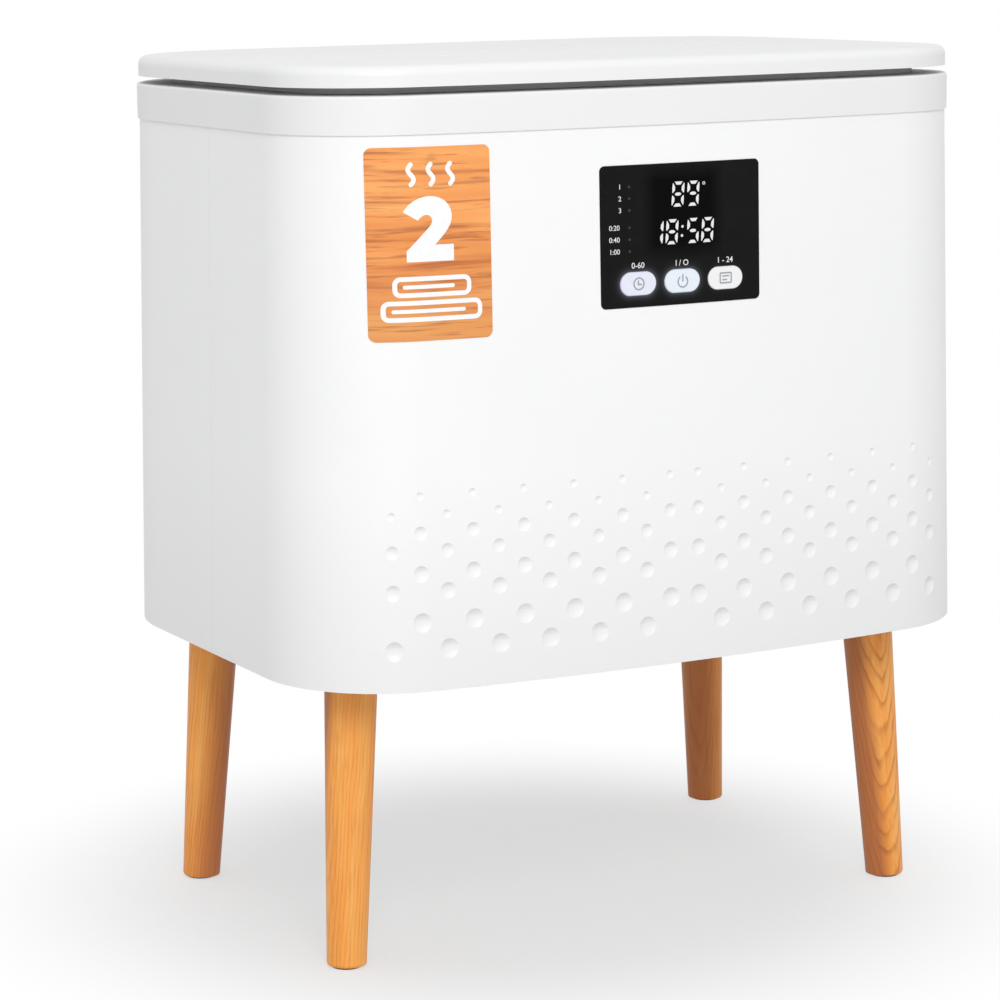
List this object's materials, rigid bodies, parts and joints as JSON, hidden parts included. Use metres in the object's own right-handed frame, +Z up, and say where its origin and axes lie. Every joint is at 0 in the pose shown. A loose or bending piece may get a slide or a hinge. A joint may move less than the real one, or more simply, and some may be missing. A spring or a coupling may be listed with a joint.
{
  "type": "towel warmer bucket",
  "caption": "Electric towel warmer: a rounded, bowed tub on splayed tapered legs, with a dimpled front, a display panel with push buttons, and a hinged flat lid.",
  "frame": {"origin": "on the floor under the middle of the bucket, level with the foot pads' undersides", "axes": "+Z up; the bowed front with the control panel faces -Y; X runs along the width, +X to the right seen from the front"},
  "size_m": [0.462, 0.352, 0.526],
  "materials": {
    "white_shell": "satin white moulding",
    "white_base": "matte white moulding",
    "wood_leg": "satin lacquer",
    "white_hinge": "matte white moulding",
    "black_panel": "gloss black",
    "white_button": "satin white, lit from behind",
    "dark_plastic": "matte black",
    "cream_plastic": "matte",
    "board": "green solder mask",
    "lamp": "clear",
    "tub_metal": "satin",
    "film": "amber film",
    "insulation": "felted",
    "screw_steel": "zinc plated",
    "plate_steel": "zinc plated",
    "pad_rubber": "matte",
    "grey_liner": "matte dark grey",
    "grey_gasket": "matte dark grey",
    "wood_label": "printed wood grain"
  },
  "bodies": {
    "cabinet": {"front_shell": "white_shell", "rear_shell": "white_shell", "top_rim": "white_shell", "base_plate": "white_base", "control_panel": "black_panel", "light_guide": "dark_plastic", "control_board": "board", "display_module": "dark_plastic", "tact_switches": "dark_plastic", "indicator_leds": "lamp", "board_screws": "screw_steel", "buzzer": "dark_plastic", "inner_tub": "tub_metal", "heating_film": "film", "floor_heater": "tub_metal", "insulation_wrap": "insulation", "thermostat": "dark_plastic", "thermal_fuse": "cream_plastic", "temperature_sensor": "screw_steel", "power_board": "board", "transformer": "dark_plastic", "relay": "dark_plastic", "capacitor": "dark_plastic", "terminal_block": "cream_plastic", "power_board_screws": "screw_steel", "base_screws": "screw_steel", "rim_screws": "screw_steel", "tub_screws": "screw_steel", "cord_gland": "dark_plastic", "gland_nut": "dark_plastic", "leg_front_left": "wood_leg", "leg_front_right": "wood_leg", "leg_rear_left": "wood_leg", "leg_rear_right": "wood_leg", "leg_brackets": "plate_steel", "leg_bolts": "screw_steel", "leg_washers": "screw_steel", "leg_pads": "pad_rubber", "hinge_bracket_left": "white_hinge", "hinge_bracket_right": "white_hinge", "hinge_foot_screws": "screw_steel", "front_label": "wood_label"},
    "lid": {"lid_cover": "white_shell", "lid_liner": "grey_liner", "lid_plug": "grey_liner", "lid_gasket": "grey_gasket", "lid_insulation": "insulation", "hinge_block_left": "white_hinge", "hinge_block_right": "white_hinge", "hinge_pins": "screw_steel", "hinge_block_screws": "screw_steel", "lid_screws": "screw_steel"},
    "time_cap": {"time_button": "white_button"},
    "power_cap": {"power_button": "white_button"},
    "delay_cap": {"delay_button": "white_button"}
  },
  "joints": [
    {"name": "lid_hinge", "type": "hinge", "parent": "cabinet", "child": "lid", "pos_m": [0, 0.164, 0.517], "axis": [-1, 0, 0], "range_deg": [0, 95]},
    {"name": "time_press", "type": "slide", "parent": "cabinet", "child": "time_cap", "axis": [0, 1, 0], "range_m": [0, 0.001], "stiffness_N_per_m": 400},
    {"name": "power_press", "type": "slide", "parent": "cabinet", "child": "power_cap", "axis": [0, 1, 0], "range_m": [0, 0.001], "stiffness_N_per_m": 400},
    {"name": "delay_press", "type": "slide", "parent": "cabinet", "child": "delay_cap", "axis": [0, 1, 0], "range_m": [0, 0.001], "stiffness_N_per_m": 400}
  ]
}
